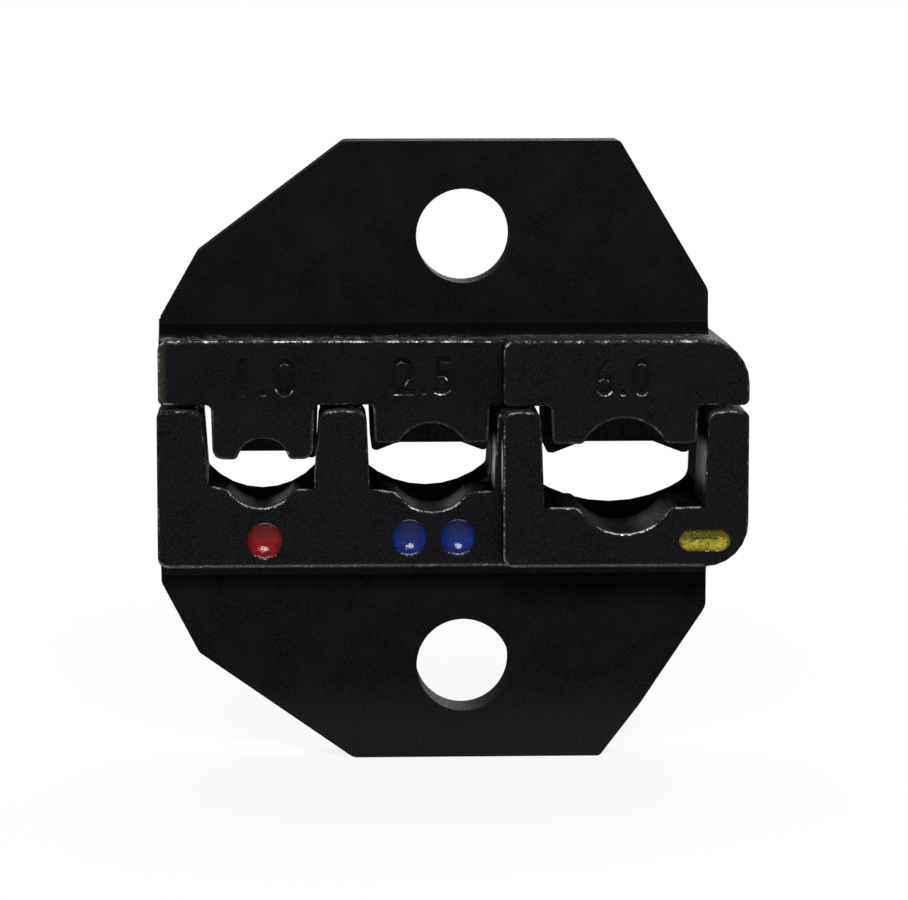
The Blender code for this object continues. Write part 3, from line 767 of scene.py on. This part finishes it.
def dot(node, name, material, seed):
    """Paint that fills a round dimple as a shallow bowl and spills a little over its edge."""
    low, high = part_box(node)
    centre = (low + high) / 2
    half_width = (high.x - low.x) / 2 + 0.05 * MM
    half_height = (high.z - low.z) / 2 + 0.11 * MM
    rim = low.y - 0.033 * MM
    skin = 0.06 * MM
    sag = high.y - low.y - 0.02 * MM

    def bowl(r):
        return sag * (1 - min(1.0, r / 0.90) ** 2.3)

    def front(r, a):
        push = Vector((math.cos(a) * r * 2.0 + seed, math.sin(a) * r * 2.0, seed))
        depth = bowl(r) + 0.010 * MM * noise.noise(push * 2.3) * (1 - r ** 4)
        edge = 1 + 0.012 * noise.noise(Vector((math.cos(a) * 2, math.sin(a) * 2, seed + 4)))
        x, z = half_width * edge * r * math.cos(a), half_height * edge * r * math.sin(a)
        return Vector((centre.x + x, max(rim, rim + depth), centre.z + z))

    def back(r, a):
        point = front(r, a)
        point.y = rim + skin + bowl(r)
        return point

    mesh = closed_sheet(name, front, back, 22, 72)
    marks = {"top": [], "edge": [], "lip_glint": []}
    for v in mesh.vertices:
        x, z = (v.co.x - centre.x) / half_width, (v.co.z - centre.z) / half_height
        r = math.hypot(x, z)
        # Painted shade over the top of the bowl.
        marks["top"].append(within(z, 0.25, 0.8, 0.45) * within(x, -0.3, 0.3, 0.5))
        marks["edge"].append(within(r, 0.98, 1.1, 0.2))
        # Painted glints along the lower rim.
        marks["lip_glint"].append(within(r, 0.975, 1.1, 0.025) * within(z, -1.1, -0.80, 0.12))
    mark_points(mesh, marks)
    paint_piece(node, name, mesh, material)


def slot_fill(node, name, material):
    """Uneven paint in a long pocket, sunk in the middle, with a crack along it."""
    low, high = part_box(node)
    centre = (low + high) / 2
    half_width = (high.x - low.x) / 2 + 0.03 * MM
    half_height = (high.z - low.z) / 2 + 0.03 * MM
    straight = half_width - half_height

    def outline(a):
        """A point on the stadium's edge, for an angle about its middle."""
        c, s = math.cos(a), math.sin(a)
        if abs(s) > 1e-9:
            reach = half_height / abs(s)
            if abs(c * reach) <= straight:
                return c * reach, s * reach
        b = straight * abs(c)
        reach = b + math.sqrt(b * b - straight * straight + half_height * half_height)
        return c * reach, s * reach

    def front(r, a):
        edge_x, edge_z = outline(a)
        x, z = edge_x * r, edge_z * r
        point = Vector((x / MM, z / MM, 0.0))
        deep = 0.11 * (1 - r ** 6)
        deep += 0.035 * noise.noise(point * 3.2 + Vector((3, 1, 0)))
        deep += 0.018 * noise.noise(point * 9.0 + Vector((7, 1, 2)))
        line = z / MM - 0.12 - 0.05 * noise.noise(point * 2.0)
        deep += 0.075 * math.exp(-(line / 0.055) ** 2) * within(x / MM, -0.75, 0.75, 0.4)
        y = low.y + 0.01 * MM + max(0.0, deep) * MM
        return Vector((centre.x + x, min(y, high.y - 0.02 * MM), centre.z + z))

    def back(r, a):
        point = front(r, a)
        point.y = high.y
        return point

    mesh = closed_sheet(name, front, back, 26, 132)
    marks = {"top": [], "bare": [], "pale": [], "crack": [], "edge": [], "lip_glint": []}
    for v in mesh.vertices:
        x, z = v.co.x - centre.x, v.co.z - centre.z
        out = math.hypot(max(0.0, abs(x) - straight), z) / half_height
        x, z = x / MM, z / MM
        line = z - 0.10 - 0.05 * noise.noise(Vector((x * 2.0, 0.0, 3.0)))
        crack = math.exp(-(line / 0.06) ** 2) * within(x, -0.65, 0.6, 0.3)
        broken = 0.75 + 0.9 * noise.noise(Vector((x * 5.0, z * 5.0, 1.0)))
        glints = max(within(x, 0.08, 0.20, 0.07), within(x, 0.66, 0.88, 0.08))
        # Painted shadow of the pocket's upper wall over the top of the paint.
        marks["top"].append(within(z, 0.22, 0.8, 0.15))
        marks["bare"].append(within(x, 0.85, 1.1, 0.25) * within(z, -0.35, 0.05, 0.2))
        # Painted highlight: a pale band just below the middle.
        marks["pale"].append(math.exp(-((z + 0.24) / 0.13) ** 2) * within(x, -0.8, 0.9, 0.35))
        marks["crack"].append(crack * max(0.0, broken))
        # Painted shade along the pocket's edge.
        marks["edge"].append(within(out, 0.98, 1.2, 0.30))
        # Painted glints under the lower rim, in two spots.
        marks["lip_glint"].append(within(out, 0.94, 1.2, 0.05) * glints * (z < -0.4))
    mark_points(mesh, marks)
    paint_piece(node, name, mesh, material)


dot("red_enamel_dot", "red_dot", RED, 1.0)
dot("blue_enamel_dot_left", "blue_dot_left", BLUE, 2.0)
dot("blue_enamel_dot_right", "blue_dot_right", BLUE, 3.0)
slot_fill("yellow_enamel_slot", "yellow_slot", YELLOW)


# Floor, light and camera, in metres

FLOOR_RADIUS = 0.16
FLOOR_FADE = (0.05, 0.15)
LAMP_TARGET = (0, 0, 0.018)
CAMERA_PLACE = (-9.41 * MM, -228.8 * MM, 48.29 * MM)
CAMERA_AIM = (0.03902, 1.0, -0.13175)


def make_floor():
    """A white floor that fades out around the part and looks dark in its gloss."""
    tree = Tree("floor")
    path = tree.nodes.new("ShaderNodeLightPath")
    in_gloss = path.outputs["Is Glossy Ray"]
    tree.set("Base Color", tree.mix(in_gloss, (0.86, 0.86, 0.86), (0.06, 0.06, 0.06)))
    tree.set("Roughness", 0.9)
    tree.set("Specular IOR Level", 0.0)
    white = tree.nodes.new("ShaderNodeEmission")
    paled = tree.nodes.new("ShaderNodeMixShader")
    paling = tree.math("MULTIPLY", path.outputs["Is Camera Ray"], 0.84)
    tree.links.new(paling, paled.inputs[0])
    tree.links.new(tree.shader.outputs[0], paled.inputs[1])
    tree.links.new(white.outputs[0], paled.inputs[2])
    clear = tree.nodes.new("ShaderNodeBsdfTransparent")
    blend = tree.nodes.new("ShaderNodeMixShader")
    length = tree.nodes.new("ShaderNodeVectorMath")
    length.operation = "LENGTH"
    tree.links.new(tree.place, length.inputs[0])
    fading = tree.ramp(length.outputs["Value"], *FLOOR_FADE, smooth=True)
    tree.links.new(fading, blend.inputs[0])
    tree.links.new(paled.outputs[0], blend.inputs[1])
    tree.links.new(clear.outputs[0], blend.inputs[2])
    tree.links.new(blend.outputs[0], tree.output.inputs[0])
    shape = bmesh.new()
    bmesh.ops.create_circle(shape, cap_ends=True, radius=FLOOR_RADIUS, segments=96)
    mesh = mesh_of(shape, "floor")
    floor = linked("floor", mesh)
    mesh.materials.append(tree.material)


def lamp(name, place, width, height, power):
    light = bpy.data.lights.new(name, "AREA")
    light.shape = "RECTANGLE"
    light.size = width
    light.size_y = height
    light.energy = power
    holder = linked(name, light)
    holder.location = place
    aim = Vector(LAMP_TARGET) - Vector(place)
    holder.rotation_euler = aim.to_track_quat("-Z", "Y").to_euler()
    return holder


def make_world():
    """White to the camera, and a weak white light to everything else."""
    world = bpy.data.worlds.new("studio")
    bpy.context.scene.world = world
    world.use_nodes = True
    nodes = world.node_tree.nodes
    links = world.node_tree.links
    nodes.clear()
    out = nodes.new("ShaderNodeOutputWorld")
    path = nodes.new("ShaderNodeLightPath")
    pick = nodes.new("ShaderNodeMixShader")
    links.new(path.outputs["Is Camera Ray"], pick.inputs[0])
    for socket, strength in ((1, 0.15), (2, 1.0)):
        background = nodes.new("ShaderNodeBackground")
        background.inputs["Color"].default_value = (1.0, 1.0, 1.0, 1)
        background.inputs["Strength"].default_value = strength
        links.new(background.outputs[0], pick.inputs[socket])
    links.new(pick.outputs[0], out.inputs[0])


def make_lamps():
    """Soft lamps; the two side lamps don't show in the enamel's gloss."""
    lamp("key", (0.0, -0.28, 0.195), 0.21, 0.10, 1.07)
    lamp("left", (-0.27, -0.25, 0.10), 0.30, 0.30, 0.25).visible_glossy = False
    lamp("right", (0.36, -0.09, 0.09), 0.24, 0.24, 0.22).visible_glossy = False
    lamp("back", (0.0, 0.17, 0.27), 0.24, 0.14, 0.60)
    lamp("rear", (0.14, 0.34, 0.11), 0.30, 0.20, 0.70)


def make_camera():
    lens = bpy.data.cameras.new("camera")
    lens.sensor_fit = "HORIZONTAL"
    lens.sensor_width = 36.0
    lens.lens = 155.0
    lens.clip_start = 0.01
    lens.clip_end = 20.0
    camera = linked("camera", lens)
    camera.location = CAMERA_PLACE
    camera.rotation_euler = Vector(CAMERA_AIM).to_track_quat("-Z", "Y").to_euler()
    bpy.context.scene.camera = camera


make_floor()
make_world()
make_lamps()
make_camera()
bpy.context.scene.view_settings.view_transform = "Standard"
